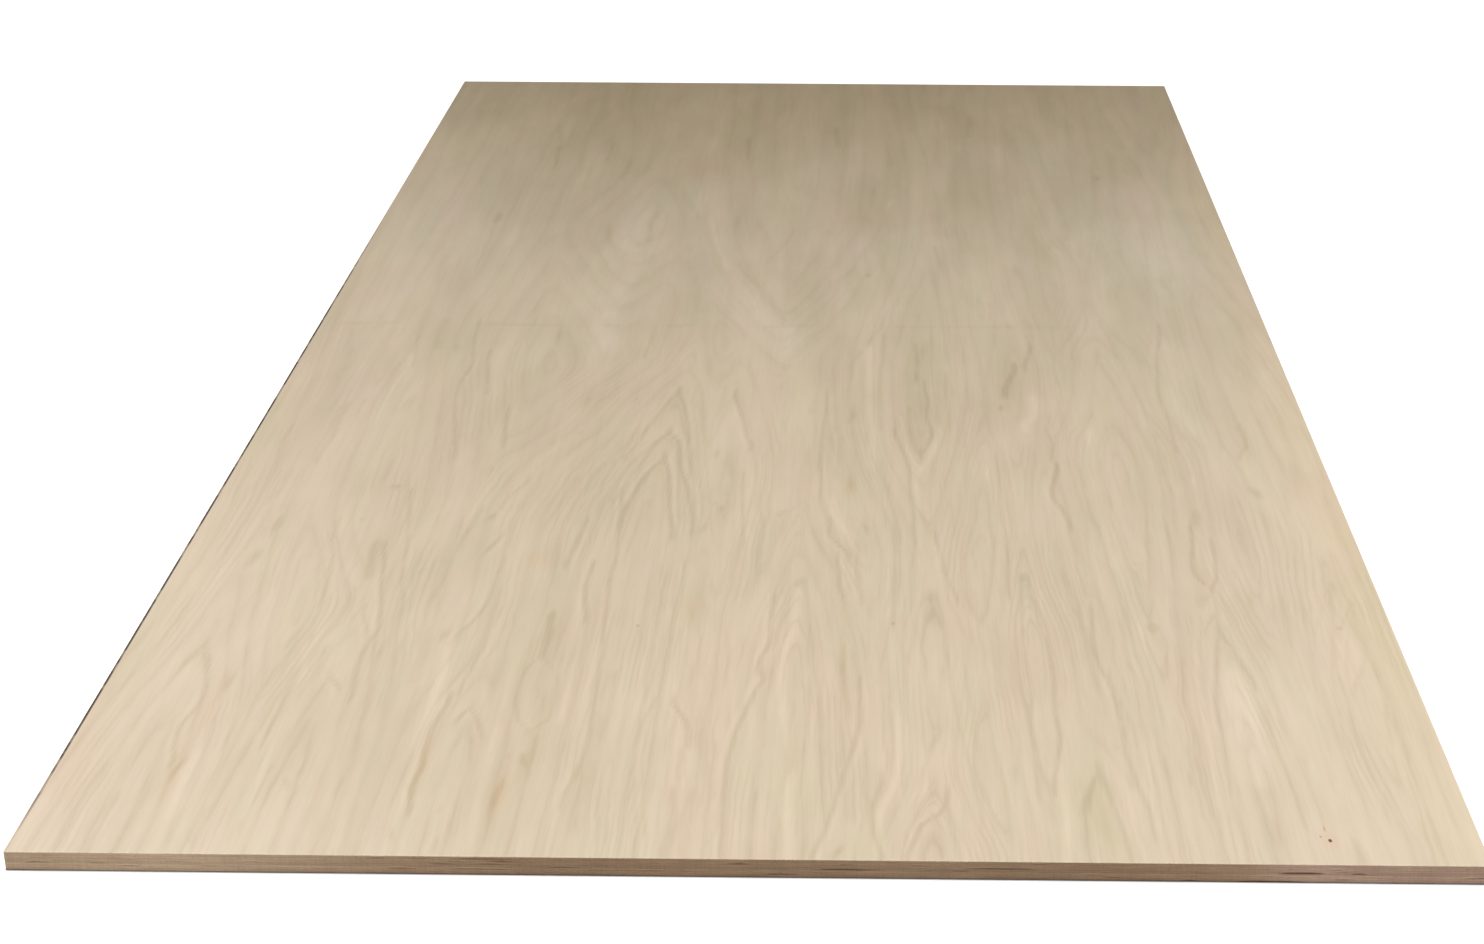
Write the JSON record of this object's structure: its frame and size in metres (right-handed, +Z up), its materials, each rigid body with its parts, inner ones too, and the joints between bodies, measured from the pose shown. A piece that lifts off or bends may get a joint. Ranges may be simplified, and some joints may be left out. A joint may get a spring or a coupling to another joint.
{
  "type": "plywood sheet",
  "caption": "Full-size sheet of pale-faced plywood lying flat, its veneers and cross-laid core plies as separate leaves.",
  "frame": {"origin": "middle of the underside, on the surface that the sheet lies on", "axes": "+X across the width, +Y along the length and the face grain, +Z up from the back veneer to the face veneer"},
  "size_m": [1.22, 2.44, 0.018],
  "materials": {
    "face_wood": "sanded, unfinished",
    "crossband_wood": "sawn edge, unfinished",
    "long_ply_wood": "sawn edge, unfinished",
    "back_wood": "sanded, unfinished"
  },
  "bodies": {
    "root": {"face_veneer": "face_wood", "crossband_1_near_leaf": "crossband_wood", "crossband_1_far_leaf": "crossband_wood", "long_ply_1": "long_ply_wood", "crossband_2": "crossband_wood", "long_ply_2": "long_ply_wood", "crossband_3": "crossband_wood", "long_ply_3": "long_ply_wood", "crossband_4": "crossband_wood", "back_veneer": "back_wood"}
  },
  "joints": []
}
